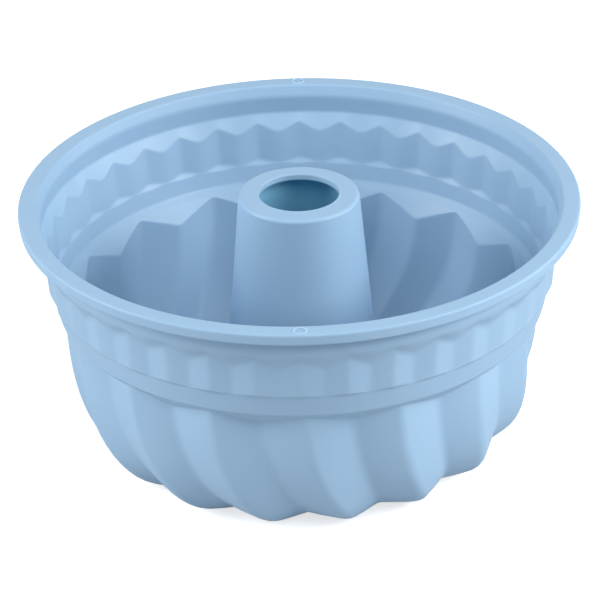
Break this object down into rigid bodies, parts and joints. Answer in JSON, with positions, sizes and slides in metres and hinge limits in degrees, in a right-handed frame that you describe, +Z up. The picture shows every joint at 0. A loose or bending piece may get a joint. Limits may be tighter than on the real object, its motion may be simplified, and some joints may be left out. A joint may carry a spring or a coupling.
{
  "type": "fluted tube pan",
  "caption": "Round silicone tube cake pan with a flat stiffened rim, a band of small straight flutes, swirled lower flutes and a tapered hollow centre tube.",
  "frame": {"origin": "centre of the foot, on the surface that the pan stands on", "axes": "+Z up along the centre tube, -Y towards the front of the picture, +X to its right"},
  "size_m": [0.24, 0.24, 0.1162],
  "materials": {
    "silicone": "smooth satin, light blue",
    "hoop_steel": "drawn wire, bare"
  },
  "bodies": {
    "root": {"rim_hoop": "hoop_steel", "rim_flange": "silicone", "upper_collar": "silicone", "small_flute_band": "silicone", "shoulder_ring": "silicone", "swirl_flute_wall": "silicone", "trough_floor": "silicone", "centre_tube": "silicone", "tube_crown": "silicone"}
  },
  "joints": []
}
